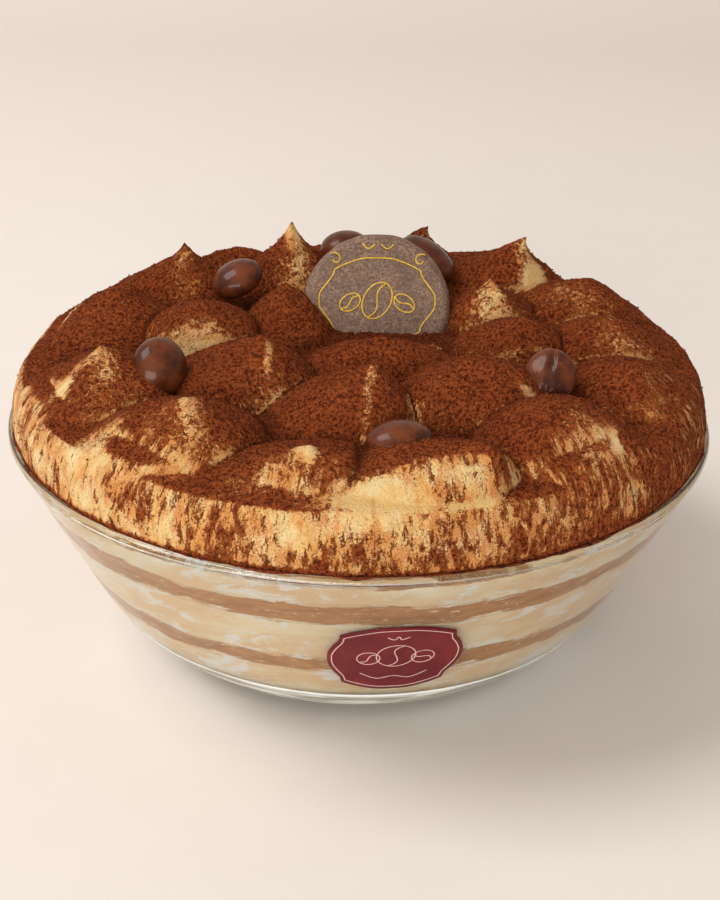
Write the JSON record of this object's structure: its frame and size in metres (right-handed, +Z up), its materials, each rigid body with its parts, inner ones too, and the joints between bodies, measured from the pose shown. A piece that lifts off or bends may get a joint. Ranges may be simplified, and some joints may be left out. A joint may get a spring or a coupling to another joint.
{
  "type": "tiramisu",
  "caption": "Conical clear glass bowl of layered tiramisu, heaped with cocoa-dusted cream peaks, chocolate coffee beans and a leaning chocolate disc.",
  "frame": {"origin": "middle of the bowl's foot, on the surface that the bowl stands on", "axes": "+Z up; -Y towards the front, where the label is; +X to the right seen from the front"},
  "size_m": [0.18, 0.18, 0.0981],
  "materials": {
    "glass": "clear, smooth",
    "cream": "soft mascarpone cream",
    "sponge": "coffee-soaked sponge",
    "cocoa_cream": "cream dusted with cocoa powder",
    "bean_chocolate": "glossy dark chocolate",
    "disc_chocolate": "matt dark chocolate with a sugary bloom",
    "label": "dark red, slightly glossy"
  },
  "bodies": {
    "root": {"bowl": "glass", "cream_bottom": "cream", "sponge_lower": "sponge", "cream_middle": "cream", "sponge_upper": "sponge", "cream_top": "cocoa_cream", "bean_left": "bean_chocolate", "bean_right": "bean_chocolate", "bean_front": "bean_chocolate", "bean_back_left": "bean_chocolate", "bean_back_middle": "bean_chocolate", "bean_back_right": "bean_chocolate", "chocolate_disc": "disc_chocolate", "label": "label"}
  },
  "joints": []
}
